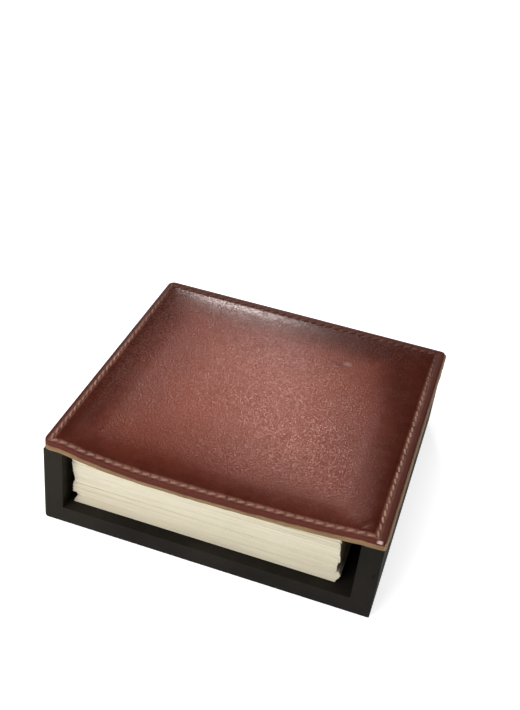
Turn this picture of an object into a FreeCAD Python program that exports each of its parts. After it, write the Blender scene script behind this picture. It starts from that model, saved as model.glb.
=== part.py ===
import FreeCAD, Part
import os
import Sketcher

# Desk box for loose memo sheets: an open-fronted wooden tray with a hinged, stitched leather lid.
# Millimetres. X runs to the right, Y to the back, Z up. The origin is on the desk, at the centre
# of the tray's footprint.

Vector = FreeCAD.Vector
AXIS_X = Vector(1, 0, 0)
AXIS_Y = Vector(0, 1, 0)
AXIS_Z = Vector(0, 0, 1)

# ---------------------------------------------------------------- driving dimensions

SIZES = {
    # loose sheets
    "sheet_width": 90.0,
    "side_play": 8.0,
    "front_setback": 4.3,
    "back_play": 5.7,
    # tray
    "wall_thickness": 7.0,
    "base_thickness": 6.2,
    "wall_height": 23.3,
    "left_rounding": 1.3,
    "right_rounding": 0.4,
    "wall_inner_radius": 0.5,
    "felt_thickness": 1.2,
    "felt_margin": 1.5,
    "felt_corner_radius": 2.0,
    # fixings in the wood
    "fixing_clearance": 0.05,
    "dowel_diameter": 3.0,
    "dowel_length": 12.0,
    "dowel_in_side": 4.5,
    "dowel_low_height": 5.5,
    "dowel_spacing": 10.0,
    "nail_width": 1.25,
    "nail_thickness": 1.05,
    "nail_length": 19.0,
    "nail_point": 1.6,
    "nail_tip_thickness": 0.2,
    "nail_head_width": 2.2,
    "nail_head_height": 0.8,
    "nail_end_margin": 12.0,
    "nail_back_spacing": 60.0,
    # lid
    "lid_inset": 0.3,
    "lid_left_corner": 2.5,
    "lid_right_corner": 1.2,
    "raw_edge_overhang": 0.8,
    "lining_thickness": 0.7,
    "board_thickness": 1.7,
    "leather_thickness": 1.0,
    "rim_radius": 0.5,
    "padding_height": 1.3,
    "padding_margin": 4.6,
    "padding_tuck": 0.3,
    "seam_inset": 2.2,
    "thread_diameter": 0.6,
    "lid_sheet_gap": 0.5,
    # hinge
    "strip_thickness": 1.0,
    "strip_drop": 16.0,
    "strip_leaf": 12.0,
    "strip_side_gap": 0.5,
    "tack_head_diameter": 4.5,
    "tack_crown_diameter": 2.4,
    "tack_head_height": 0.7,
    "tack_shank_width": 1.4,
    "tack_tip_width": 0.3,
    "tack_length": 5.0,
    "tack_dowel_gap": 0.8,
    "tack_depth": 8.0,
    # bundles of sheets from the base board up: thickness, shift right, shift back, turn in degrees
    "bundle_height_1": 2.6, "bundle_right_1": -1.6, "bundle_back_1": 0.0, "bundle_turn_1": 0.15,
    "bundle_height_2": 1.8, "bundle_right_2": -1.1, "bundle_back_2": 0.3, "bundle_turn_2": -0.25,
    "bundle_height_3": 4.2, "bundle_right_3": -2.3, "bundle_back_3": -0.2, "bundle_turn_3": 0.1,
    "bundle_height_4": 4.4, "bundle_right_4": -1.9, "bundle_back_4": 0.1, "bundle_turn_4": 0.3,
    "bundle_height_5": 3.8, "bundle_right_5": -2.4, "bundle_back_5": -0.3, "bundle_turn_5": -0.15,
    "bundle_height_6": 3.2, "bundle_right_6": -2.7, "bundle_back_6": 0.0, "bundle_turn_6": 0.2,
}

SIDES = {-1: "left", 1: "right"}
BUNDLES = 6
NAILS_PER_SIDE = 3
BACK_NAILS = 2
DOWELS_PER_CORNER = 2
TACKS = 5

doc = FreeCAD.newDocument("MemoPaperBox")
sheet = doc.addObject("Spreadsheet::Sheet", "Sizes")
for row, (alias, value) in enumerate(SIZES.items(), 1):
    sheet.set(f"A{row}", alias)
    sheet.set(f"B{row}", str(value))
    sheet.setAlias(f"B{row}", alias)
doc.recompute()


def size(alias):
    """Value of one cell of the sheet, for shapes that are worked out in code."""
    return float(sheet.get(alias))


# ---------------------------------------------------------------- sizes that follow from those

FOLLOWING = {
    "stack_height": " + ".join(f"Sizes.bundle_height_{n}" for n in range(1, BUNDLES + 1)),
    "inner_width": "Sizes.sheet_width + Sizes.side_play",
    "tray_width": "inner_width + 2 * Sizes.wall_thickness",
    "tray_depth": "Sizes.front_setback + Sizes.sheet_width + Sizes.back_play + Sizes.wall_thickness",
    "front_y": "-tray_depth / 2",
    "back_y": "tray_depth / 2",
    "base_top": "Sizes.felt_thickness + Sizes.base_thickness",
    "wall_top": "base_top + Sizes.wall_height",
    "side_wall_x": "(inner_width + Sizes.wall_thickness) / 2",
    "back_wall_y": "back_y - Sizes.wall_thickness / 2",
    "back_fixing_y": "back_wall_y - Sizes.strip_thickness / 2",
    "back_wall_height": "Sizes.wall_height - Sizes.strip_thickness",
    "back_wall_top": "base_top + back_wall_height",
    "strip_width": "inner_width - 2 * Sizes.strip_side_gap",
    "strip_low": "wall_top - Sizes.strip_drop",
    "strip_inner_y": "back_y - Sizes.strip_thickness",
    "leaf_front_y": "strip_inner_y - Sizes.strip_leaf",
    "tack_z": "wall_top - Sizes.tack_depth",
    "dowel_reach": "Sizes.dowel_length - Sizes.dowel_in_side",
    "outer_tack_x": "inner_width / 2 - dowel_reach - Sizes.tack_dowel_gap - Sizes.tack_shank_width / 2",
    "sheets_y": "front_y + Sizes.front_setback + Sizes.sheet_width / 2",
    "lid_sag": "Sizes.wall_height - stack_height - Sizes.lid_sheet_gap",
}

follow = doc.addObject("App::VarSet", "Follow")
for name, expression in FOLLOWING.items():
    follow.addProperty("App::PropertyFloat", name, "Following")
    follow.setExpression(name, expression)
doc.recompute()

# ---------------------------------------------------------------- helpers for sketches and features

START_SQUARE = 10.0


def body(label):
    """Empty PartDesign body that becomes one sub-part."""
    made = doc.addObject("PartDesign::Body", label)
    made.Label = label
    return made


def sketch_on(owner, plane, name):
    """Sketch on one of the body's own origin planes."""
    made = owner.newObject("Sketcher::SketchObject", name)
    planes = [f for f in owner.Origin.OriginFeatures if f.Role == plane]
    made.AttachmentSupport = [(planes[0], "")]
    made.MapMode = "FlatFace"
    return made


def centred_rectangle(sketch, width, height):
    """Rectangle about the sketch's origin, its sides bound to two expressions."""
    half = START_SQUARE / 2
    corners = [Vector(-half, -half), Vector(half, -half), Vector(half, half), Vector(-half, half)]
    for start, end in zip(corners, corners[1:] + corners[:1]):
        sketch.addGeometry(Part.LineSegment(start, end), False)
    for side in range(4):
        sketch.addConstraint(Sketcher.Constraint("Coincident", side, 2, (side + 1) % 4, 1))
    for side in (0, 2):
        sketch.addConstraint(Sketcher.Constraint("Horizontal", side))
    for side in (1, 3):
        sketch.addConstraint(Sketcher.Constraint("Vertical", side))
    sketch.addConstraint(Sketcher.Constraint("Symmetric", 0, 1, 2, 1, -1, 1))
    wide = sketch.addConstraint(Sketcher.Constraint("DistanceX", 0, 1, 0, 2, START_SQUARE))
    high = sketch.addConstraint(Sketcher.Constraint("DistanceY", 1, 1, 1, 2, START_SQUARE))
    sketch.setExpression(f"Constraints[{wide}]", width)
    sketch.setExpression(f"Constraints[{high}]", height)


def pad(owner, sketch, length, name):
    """Pad of a sketch along its normal."""
    made = owner.newObject("PartDesign::Pad", name)
    made.Profile = sketch
    made.setExpression("Length", length)
    doc.recompute()
    return made


def fillet(owner, base, edges, radius, name):
    """Fillet of the named edges of a feature."""
    made = owner.newObject("PartDesign::Fillet", name)
    made.Base = (base, edges)
    made.setExpression("Radius", radius)
    doc.recompute()
    return made


def straight_edges(shape, axis):
    """Number and middle of each of the shape's straight edges that lie along an axis."""
    found = []
    for number, edge in enumerate(shape.Edges, 1):
        if len(edge.Vertexes) != 2:
            continue
        run = edge.Vertexes[1].Point - edge.Vertexes[0].Point
        if abs(run.Length - edge.Length) < 1e-6 and abs(run.dot(axis)) > 0.999 * run.Length:
            found.append((number, edge.CenterOfMass))
    return found


def edges_where(feature, axis, wanted):
    """Names of the feature's straight edges along an axis whose middle passes the test."""
    return [f"Edge{n}" for n, middle in straight_edges(feature.Shape, axis) if wanted(middle)]


def board(label, width, depth, thickness):
    """Body with one centred rectangular pad, standing on its own XY plane."""
    made = body(label)
    outline = sketch_on(made, "XY_Plane", f"{label}_outline")
    centred_rectangle(outline, width, depth)
    return made, pad(made, outline, thickness, f"{label}_pad")


def place(thing, x="0", y="0", z="0"):
    """Binds the place of an object to expressions."""
    thing.setExpression("Placement.Base.x", x)
    thing.setExpression("Placement.Base.y", y)
    thing.setExpression("Placement.Base.z", z)


def cylinder(name, diameter, length, at, turn=FreeCAD.Rotation()):
    """Cylinder whose size and place are expressions."""
    made = doc.addObject("Part::Cylinder", name)
    made.Placement = FreeCAD.Placement(Vector(), turn)
    made.setExpression("Radius", f"({diameter}) / 2")
    made.setExpression("Height", length)
    place(made, *at)
    return made


def cone(name, low_diameter, high_diameter, length, at, turn=FreeCAD.Rotation()):
    """Cone whose size and place are expressions."""
    made = doc.addObject("Part::Cone", name)
    made.Placement = FreeCAD.Placement(Vector(), turn)
    made.setExpression("Radius1", f"({low_diameter}) / 2")
    made.setExpression("Radius2", f"({high_diameter}) / 2")
    made.setExpression("Height", length)
    place(made, *at)
    return made


def block(name, width, depth, height, at):
    """Box that stands about a point, whose size and place are expressions."""
    made = doc.addObject("Part::Box", name)
    made.setExpression("Length", width)
    made.setExpression("Width", depth)
    made.setExpression("Height", height)
    x, y, z = at
    place(made, f"{x} - ({width}) / 2", f"{y} - ({depth}) / 2", z)
    return made


def taper(name, foot, tip, length, at, turn):
    """Four-sided shank that narrows along its own Y, from a foot to a tip of given widths."""
    made = doc.addObject("Part::Wedge", name)
    made.Placement = FreeCAD.Placement(Vector(), turn)
    made.Ymin = 0
    made.setExpression("Ymax", length)
    for end, (width, depth) in (("", foot), ("2", tip)):
        made.setExpression(f"X{end}min", f"-({width}) / 2")
        made.setExpression(f"X{end}max", f"({width}) / 2")
        made.setExpression(f"Z{end}min", f"-({depth}) / 2")
        made.setExpression(f"Z{end}max", f"({depth}) / 2")
    place(made, *at)
    return made


def fused(name, members):
    """One solid made of the members."""
    made = doc.addObject("Part::MultiFuse", name)
    made.Shapes = members
    return made


def together(name, members):
    """The members as a group of separate solids."""
    made = doc.addObject("Part::Compound", name)
    made.Links = members
    return made


def cut(label, blank, tools):
    """The blank with each tool's space taken out of it, one after the other."""
    for number, tool in enumerate(tools, 1):
        made = doc.addObject("Part::Cut", label if tool is tools[-1] else f"{label}_cut_{number}")
        made.Base = blank
        made.Tool = tool
        blank = made
    blank.Label = label
    return blank


# ---------------------------------------------------------------- fixings and their holes

Z_TO_RIGHT = FreeCAD.Rotation(AXIS_Y, 90)
Z_TO_BACK = FreeCAD.Rotation(AXIS_X, -90)
Y_TO_FRONT = FreeCAD.Rotation(AXIS_Z, 180)
Y_TO_TOP = FreeCAD.Rotation(AXIS_X, 90)


def nail_places():
    """Expressions for the x and y of each base nail: along both side walls, then the back wall."""
    start = "Follow.front_y + Sizes.nail_end_margin"
    run = "(Follow.tray_depth - Sizes.wall_thickness - 2 * Sizes.nail_end_margin)"
    places = []
    for side in (-1, 1):
        for step in range(NAILS_PER_SIDE):
            y = f"{start} + {run} * {step / (NAILS_PER_SIDE - 1)}"
            places.append((f"{side} * Follow.side_wall_x", y))
    for step in range(BACK_NAILS):
        x = f"{step - (BACK_NAILS - 1) / 2} * Sizes.nail_back_spacing"
        places.append((x, "Follow.back_fixing_y"))
    return places


def nails(name, extra):
    """The base nails, or with an extra their holes: brads with a sunk head and a chisel point."""
    wide = f"Sizes.nail_width + 2 * {extra}"
    thick = f"Sizes.nail_thickness + 2 * {extra}"
    head_wide = f"Sizes.nail_head_width + 2 * {extra}"
    tip_thick = f"Sizes.nail_tip_thickness + 2 * {extra}"
    shank_length = "(Sizes.nail_length - Sizes.nail_head_height - Sizes.nail_point)"
    point_length = f"Sizes.nail_point + {extra}"
    head_top = "(Sizes.felt_thickness + Sizes.nail_head_height)"
    made = []
    for number, (x, y) in enumerate(nail_places(), 1):
        head_at = (x, y, "Sizes.felt_thickness")
        shank_at = (x, y, head_top)
        point_at = (x, y, f"{head_top} + {shank_length}")
        head = block(f"{name}_head_{number}", head_wide, thick, "Sizes.nail_head_height", head_at)
        shank = block(f"{name}_shank_{number}", wide, thick, shank_length, shank_at)
        foot, tip = (wide, thick), (wide, tip_thick)
        point = taper(f"{name}_point_{number}", foot, tip, point_length, point_at, Y_TO_TOP)
        made.append(fused(f"{name}_{number}", [head, shank, point]))
    return together(name, made)


def dowels(name, extra):
    """The corner dowels, or with an extra their holes, from each side wall into the back wall."""
    length = f"(Sizes.dowel_length + 2 * {extra})"
    outer_end = f"(Follow.inner_width / 2 + Sizes.dowel_in_side + {extra})"
    starts = {"left": f"-{outer_end}", "right": f"{outer_end} - {length}"}
    made = []
    for side, start in starts.items():
        for step in range(DOWELS_PER_CORNER):
            height = f"Follow.base_top + Sizes.dowel_low_height + {step} * Sizes.dowel_spacing"
            at = (start, "Follow.back_fixing_y", height)
            diameter = f"Sizes.dowel_diameter + 2 * {extra}"
            made.append(cylinder(f"{name}_{side}_{step}", diameter, length, at, Z_TO_RIGHT))
    return together(name, made)


def tack_places():
    """Expressions for the place of each hinge tack on the strip's face."""
    return [
        (f"{2 * step / (TACKS - 1) - 1} * Follow.outer_tack_x", "Follow.back_y", "Follow.tack_z")
        for step in range(TACKS)
    ]


def tack_shanks(name, extra):
    """The tacks' shanks, or with an extra their holes, through the strip into the back wall."""
    wide = f"Sizes.tack_shank_width + 2 * {extra}"
    tip_wide = f"Sizes.tack_tip_width + 2 * {extra}"
    length = f"Sizes.tack_length + {extra}"
    return [
        taper(f"{name}_{number}", (wide, wide), (tip_wide, tip_wide), length, at, Y_TO_FRONT)
        for number, at in enumerate(tack_places(), 1)
    ]


CLEARANCE = "Sizes.fixing_clearance"
nail_holes = nails("nail_hole", CLEARANCE)
dowel_holes = dowels("dowel_hole", CLEARANCE)
tack_holes = together("tack_hole", tack_shanks("tack_hole_shank", CLEARANCE))

# ---------------------------------------------------------------- tray


def base_board():
    """Bottom of the tray, rounded at its corners and underneath along its sides."""
    made, last = board("base_blank", "Follow.tray_width", "Follow.tray_depth", "Sizes.base_thickness")
    middle_height = size("base_thickness") / 2
    for side, name in SIDES.items():
        corners = edges_where(last, AXIS_Z, lambda middle: middle.x * side > 0)
        under = edges_where(last, AXIS_Y, lambda middle: middle.z < middle_height and middle.x * side > 0)
        last = fillet(made, last, corners + under, f"Sizes.{name}_rounding", f"base_{name}_rounding")
    place(made, z="Sizes.felt_thickness")
    return cut("base_board", made, [nail_holes])


def side_wall(side):
    """Wall on the base board: rounded outside, eased at its inner top edge."""
    label = f"{SIDES[side]}_wall"
    made, last = board(f"{label}_blank", "Sizes.wall_thickness", "Follow.tray_depth", "Sizes.wall_height")
    high = size("wall_height") / 2
    inside = -size("wall_thickness") / 4
    corners = edges_where(last, AXIS_Z, lambda middle: middle.x * side > 0)
    outer = edges_where(last, AXIS_Y, lambda middle: middle.z > high and middle.x * side > 0)
    last = fillet(made, last, corners + outer, f"Sizes.{SIDES[side]}_rounding", f"{label}_rounding")
    inner = edges_where(last, AXIS_Y, lambda middle: middle.z > high and middle.x * side < inside)
    fillet(made, last, inner, "Sizes.wall_inner_radius", f"{label}_easing")
    place(made, f"{side} * Follow.side_wall_x", z="Follow.base_top")
    return cut(label, made, [nail_holes, dowel_holes])


def back_wall():
    """Wall between the side walls, lower by the hinge strip, which lies in its rabbet."""
    made, _ = board("back_blank", "Follow.inner_width", "Sizes.wall_thickness", "Follow.back_wall_height")
    place(made, y="Follow.back_wall_y", z="Follow.base_top")
    rabbet = doc.addObject("Part::Box", "strip_rabbet")
    rabbet.setExpression("Length", "Follow.inner_width")
    rabbet.setExpression("Width", "Sizes.strip_thickness")
    rabbet.setExpression("Height", "Sizes.strip_drop")
    place(rabbet, "-Follow.inner_width / 2", "Follow.strip_inner_y", "Follow.strip_low")
    return cut("back_wall", made, [rabbet, nail_holes, dowel_holes, tack_holes])


def base_felt():
    """Felt under the base board, which hides the nail heads."""
    width = "Follow.tray_width - 2 * Sizes.felt_margin"
    depth = "Follow.tray_depth - 2 * Sizes.felt_margin"
    made, last = board("base_felt", width, depth, "Sizes.felt_thickness")
    corners = edges_where(last, AXIS_Z, lambda middle: True)
    fillet(made, last, corners, "Sizes.felt_corner_radius", "felt_corners")
    return made


# ---------------------------------------------------------------- memo sheets


def memo_sheets(number):
    """One bundle of loose sheets, lying on the bundles below it."""
    height = f"Sizes.bundle_height_{number}"
    made, _ = board(f"memo_sheets_{number}", "Sizes.sheet_width", "Sizes.sheet_width", height)
    made.Placement = FreeCAD.Placement(Vector(), FreeCAD.Rotation(AXIS_Z, size(f"bundle_turn_{number}")))
    below = [f"Sizes.bundle_height_{n}" for n in range(1, number)]
    right = f"Sizes.bundle_right_{number}"
    back = f"Follow.sheets_y + Sizes.bundle_back_{number}"
    place(made, right, back, " + ".join(["Follow.base_top"] + below))
    return made


# ---------------------------------------------------------------- lid

# The lid hangs between the side walls onto the sheets. Its hollow is a Bezier patch, whose poles
# hang down by these shares of the sag: from left to right, and from the front to the hinge.
HANG_ACROSS = (0.0, 1.85, 0.55, 1.1, 0.0)
HANG_BACKWARDS = (1.0, 1.0, 0.6, 0.0)
CROWN_POINTS = 9
CROWN_POWER = 4
ON_SURFACE = 0.01

inner_half = follow.inner_width / 2
lid_half = follow.tray_width / 2 - size("lid_inset")
lining_top = size("lining_thickness")
board_top = lining_top + size("board_thickness")
rim_top = board_top + size("leather_thickness")
through_lid = size("wall_height")


def hanging_patch():
    """Bezier surface of the lid's underside between the walls, measured from the wall tops."""
    surface = Part.BezierSurface()
    surface.increase(len(HANG_ACROSS) - 1, len(HANG_BACKWARDS) - 1)
    for i, across in enumerate(HANG_ACROSS):
        for j, backwards in enumerate(HANG_BACKWARDS):
            x = inner_half * (2 * i / (len(HANG_ACROSS) - 1) - 1)
            y = follow.front_y + (follow.leaf_front_y - follow.front_y) * j / (len(HANG_BACKWARDS) - 1)
            surface.setPole(i + 1, j + 1, Vector(x, y, -follow.lid_sag * across * backwards))
    return surface


patch = hanging_patch()


def hang(x, y):
    """Height of the lid's underside over the wall tops at a point of its plan."""
    if abs(x) >= inner_half or y >= follow.leaf_front_y:
        return 0.0
    u = (x + inner_half) / (2 * inner_half)
    v = (y - follow.front_y) / (follow.leaf_front_y - follow.front_y)
    return patch.value(u, v).z


def outline(inset, overhang=0.0):
    """Tall prism with the lid's plan, set in from its edges, its corners tighter at the right."""
    low_corner = Vector(inset - lid_half, follow.front_y + inset, -through_lid)
    width = 2 * (lid_half - inset) + overhang
    prism = Part.makeBox(width, follow.tray_depth - 2 * inset, 2 * through_lid, low_corner)
    for side, name in SIDES.items():
        radius = max(size(f"lid_{name}_corner") - inset, size("thread_diameter"))
        upright = [prism.Edges[n - 1] for n, middle in straight_edges(prism, AXIS_Z) if middle.x * side > 0]
        prism = prism.makeFillet(radius, upright)
    return prism


def layer(low, high, inset=0.0, overhang=0.0):
    """Sheet of the lid from one height over the wall tops to another, level over the walls."""
    thickness = high - low
    hanging = patch.toShape().extrude(Vector(0, 0, thickness))
    width = 2 * lid_half + overhang
    plate = Part.makeBox(width, follow.tray_depth, thickness, Vector(-lid_half, follow.front_y, 0))
    well_depth = follow.leaf_front_y - follow.front_y
    well = Part.makeBox(2 * inner_half, well_depth, thickness, Vector(-inner_half, follow.front_y, 0))
    made = plate.cut(well).fuse(hanging)
    made.translate(Vector(0, 0, low))
    return made.common(outline(inset, overhang)).removeSplitter()


def crown():
    """Top of the leather over the padding: tucked under the rim's top at its edge, domed inside."""
    half_x = lid_half - size("padding_margin")
    half_y = follow.tray_depth / 2 - size("padding_margin")
    edge = rim_top - size("padding_tuck")
    rise = size("padding_height") + size("padding_tuck")
    steps = [2 * i / (CROWN_POINTS - 1) - 1 for i in range(CROWN_POINTS)]
    rows = []
    for across in steps:
        row = []
        for backwards in steps:
            x = half_x * across
            y = half_y * backwards
            swell = (1 - across**CROWN_POWER) * (1 - backwards**CROWN_POWER)
            row.append(Vector(x, y, edge + hang(x, y) + rise * swell))
        rows.append(row)
    surface = Part.BSplineSurface()
    surface.interpolate(rows)
    return surface.toShape()


def rim_edges(leather):
    """Edges of the leather between its top and its raw sides."""
    sides = Part.Compound([face for face in outline(0).Faces if abs(face.normalAt(0, 0).z) < ON_SURFACE])
    found = []
    for edge in leather.Edges:
        points = edge.discretize(3)
        beside = [sides.distToShape(Part.Vertex(point))[0] for point in points]
        above = [abs(point.z - rim_top - hang(point.x, point.y)) for point in points]
        if max(beside + above) < ON_SURFACE:
            found.append(edge)
    return found


def lid_part(label, shape):
    """Sub-part of the lid, whose shape is measured from the wall tops."""
    made = doc.addObject("Part::Feature", label)
    made.Label = label
    made.Shape = shape
    made.Placement = FreeCAD.Placement(Vector(0, 0, follow.wall_top), FreeCAD.Rotation())
    return made


def lid():
    """Lining, board, padding, leather and thread, each lying on the one before."""
    above_board = layer(board_top, board_top + through_lid)
    dome = crown()
    under_dome = dome.translated(Vector(0, 0, -size("leather_thickness")))
    padding = under_dome.extrude(Vector(0, 0, -through_lid)).common(above_board)
    swell = dome.extrude(Vector(0, 0, -through_lid)).common(above_board)
    leather = layer(board_top, rim_top).fuse(swell).cut(padding).removeSplitter()
    leather = leather.makeFillet(size("rim_radius"), rim_edges(leather))
    half_thread = size("thread_diameter") / 2
    thread = layer(rim_top, rim_top + half_thread, size("seam_inset") - half_thread)
    thread = thread.cut(outline(size("seam_inset") + half_thread))
    raw_edge = size("raw_edge_overhang")
    return [
        lid_part("lid_lining", layer(0, lining_top, overhang=raw_edge)),
        lid_part("lid_board", layer(lining_top, board_top, overhang=raw_edge)),
        lid_part("lid_padding", padding),
        lid_part("lid_leather", leather),
        lid_part("lid_thread", thread),
    ]


# ---------------------------------------------------------------- hinge


def hinge_strip():
    """Leaf of the leather hinge that is glued and tacked into the back wall's rabbet."""
    made, _ = board("strip_blank", "Follow.strip_width", "Sizes.strip_thickness", "Sizes.strip_drop")
    place(made, y="Follow.strip_inner_y + Sizes.strip_thickness / 2", z="Follow.strip_low")
    return cut("hinge_strip", made, [tack_holes])


def hinge_leaf():
    """Leaf of the hinge that is sewn under the lid's back seam and lies on the back wall."""
    made, _ = board("hinge_leaf", "Follow.strip_width", "Sizes.strip_leaf", "Sizes.strip_thickness")
    place(made, y="Follow.leaf_front_y + Sizes.strip_leaf / 2", z="Follow.back_wall_top")
    return made


def hinge_tacks():
    """Tacks with low heads, through the hinge strip into the back wall."""
    made = []
    shanks = tack_shanks("tack_shank", "0")
    for number, (at, shank) in enumerate(zip(tack_places(), shanks), 1):
        widths = ("Sizes.tack_head_diameter", "Sizes.tack_crown_diameter")
        head = cone(f"tack_head_{number}", *widths, "Sizes.tack_head_height", at, Z_TO_BACK)
        made.append(fused(f"tack_{number}", [head, shank]))
    return together("hinge_tacks", made)


# ---------------------------------------------------------------- build, check and write

sub_parts = [
    base_board(),
    side_wall(-1),
    side_wall(1),
    back_wall(),
    base_felt(),
    dowels("corner_dowels", "0"),
    nails("base_nails", "0"),
    hinge_strip(),
    hinge_leaf(),
    hinge_tacks(),
]
sub_parts += [memo_sheets(number) for number in range(1, BUNDLES + 1)]
sub_parts += lid()
doc.recompute()

for thing in doc.Objects:
    if "Invalid" in thing.State or "Error" in thing.State:
        raise RuntimeError(f"{thing.Label} failed: {thing.State}")

os.makedirs("parts", exist_ok=True)
for part in sub_parts:
    if part.Shape.isNull() or not part.Shape.isValid() or not part.Shape.Solids:
        raise RuntimeError(f"{part.Label} has no valid shape")
    part.Shape.exportStep(f"parts/{part.Label}.step")
    print(part.Label, "solids", len(part.Shape.Solids), "volume", round(part.Shape.Volume, 1))
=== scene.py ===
import math
import random

import bpy
from mathutils import Matrix, Vector, noise


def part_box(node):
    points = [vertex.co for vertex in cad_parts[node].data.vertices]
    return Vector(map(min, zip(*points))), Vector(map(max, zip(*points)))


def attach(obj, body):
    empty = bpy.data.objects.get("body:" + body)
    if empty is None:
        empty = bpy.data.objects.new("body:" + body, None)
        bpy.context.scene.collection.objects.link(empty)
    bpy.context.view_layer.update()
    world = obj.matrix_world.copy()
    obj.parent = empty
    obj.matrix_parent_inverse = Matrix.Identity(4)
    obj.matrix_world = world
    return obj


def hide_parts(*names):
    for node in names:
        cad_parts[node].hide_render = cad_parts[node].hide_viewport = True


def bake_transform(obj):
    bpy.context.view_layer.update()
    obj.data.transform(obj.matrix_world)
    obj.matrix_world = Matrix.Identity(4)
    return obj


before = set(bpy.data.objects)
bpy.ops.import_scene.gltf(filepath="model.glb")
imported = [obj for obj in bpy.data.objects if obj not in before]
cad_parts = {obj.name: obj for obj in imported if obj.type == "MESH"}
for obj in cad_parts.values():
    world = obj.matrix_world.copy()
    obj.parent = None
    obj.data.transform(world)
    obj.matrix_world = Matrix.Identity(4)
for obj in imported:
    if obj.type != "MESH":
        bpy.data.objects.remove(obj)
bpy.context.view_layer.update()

# ---------------------------------------------------------------- sizes

MM = 0.001
TINY = 1e-6

# Places that the frame gives.
base_low, base_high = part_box("base_board")
wall_low, wall_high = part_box("right_wall")
leaf_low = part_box("hinge_leaf")[0]
strip_low, strip_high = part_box("hinge_strip")
inner_half = wall_low.x
wall_top = wall_high.z
front_y = base_low.y
back_y = base_high.y
lid_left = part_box("lid_leather")[0].x
lid_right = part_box("lid_leather")[1].x
lining_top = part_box("lid_lining")[1].z
board_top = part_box("lid_board")[1].z
well_depth = leaf_low.y - front_y

# Lid, with the same corners as its solids. Its hollow is the same Bezier patch, whose poles hang
# down by these shares of the sag: from left to right, and from the front to the hinge.
LEFT_CORNER = 2.5 * MM
RIGHT_CORNER = 1.2 * MM
LEAST_CORNER = 0.6 * MM
LEATHER = 1.0 * MM
RIM_ROUNDING = 0.35 * MM
HANG_GAP = 0.5 * MM
HANG_ACROSS = (0.0, 1.85, 0.55, 1.1, 0.0)
HANG_BACKWARDS = (1.0, 1.0, 0.6, 0.0)
EASING = 8 * MM
RAGGED_WAVES = 300
LINING_RAGGED = 0.25 * MM
BOARD_RAGGED = 0.2 * MM

# Grid lines of the lid's layers, in millimetres from an edge, and their pitch in the middle.
FINE_LINES = (0.0, 0.8, 1.2, 1.6, 2.0, 2.35, 2.7, 3.05, 3.4, 3.8, 4.3, 5.0, 5.8)
FINE_PITCH = 0.8
COARSE_LINES = (0.0, 0.7, 1.4, 2.4)
COARSE_PITCH = 1.7

# Seam, by its distance from each edge of the leather. A stitch stands proud of its groove by a
# share of the thread's width, and its ends dip by a share of half that width. It lies across the
# seam's line by an angle in degrees, which varies a little.
SEAM_FRONT = 1.6 * MM
SEAM_BACK = 3.0 * MM
SEAM_LEFT = 2.1 * MM
SEAM_RIGHT = 2.8 * MM
STITCH_PITCH = 3.1 * MM
STITCH_LENGTH = 2.75 * MM
THREAD = 0.9 * MM
THREAD_PROUD = 0.22
STITCH_DIP = 0.35
STITCH_JITTER = 0.06 * MM
STITCH_SLANT = 15.0
SLANT_SPREAD = 3.0
STITCH_SEED = 7
GROOVE_DEPTH = 0.17 * MM
GROOVE_WIDTH = 0.85 * MM
PUCKER = 0.06 * MM

# Padding under the leather. The panel inside the seam swells as slack cloth does under air, and
# two kinds of waves, given per metre, make its crown a little uneven.
PAD_RISE = 1.1 * MM
PAD_FIRMNESS = 1.5 * MM
PAD_WAVES = 0.07 * MM
SLOW_WAVES = 45
QUICK_WAVES = 110
QUICK_SHARE = 0.35
FOAM_EDGE = 0.05 * MM
FOAM_GAP = 0.1 * MM
SWELL_CELLS = (66, 62)
SWELL_SCALE = 10
SWELL_FRAMES = 20
SWELL_PRESSURE = 4.0
SWELL_SLACK = 0.003

# Sheets of paper: each drifts a little from the one below it, and lies a little off that line.
# A bundle leans by its slant, and curls up by its own lift and those of the bundles below it.
# Slants and lifts are in millimetres.
BUNDLES = 6
PAPER = 0.1 * MM
PAPER_SOLID = 0.92
SHEET_CELLS = 4
SHEET_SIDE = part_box("memo_sheets_1")[1].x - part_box("memo_sheets_1")[0].x - 0.3 * MM
DRIFT_KEPT = 0.85
DRIFT_X = 0.07 * MM
DRIFT_Y = 0.05 * MM
SHIFT_X = 0.07 * MM
SHIFT_Y = 0.06 * MM
SHEET_TURN = 0.07
SHEET_SEED = 40
SHEET_SLANTS = (1.0, -0.8, 0.1, -0.6, -0.6, -0.7)
SHEET_LIFTS = (0.0, 0.05, 0.06, 0.03, 0.1, 0.05)

# Hinge and felt.
HINGE_CELLS = (48, 40)
HINGE_FILL = 0.96
FELT_CORNER = 2 * MM

# Marks on the lid and the wall: a crease whose shade is painted dark, a painted glint beside it, a
# chip at the lid's corner that also stands for a painted highlight, and a nick in the wall whose
# shade is painted dark.
CREASE_X, CREASE_Y = 19.5 * MM, 29.2 * MM
GLINT_X, GLINT_Y = 23.6 * MM, 28.4 * MM
CHIP_X, CHIP_Y = 54.1 * MM, -53.5 * MM
NICK_X, NICK_Z = 54.6 * MM, 19.4 * MM

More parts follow.
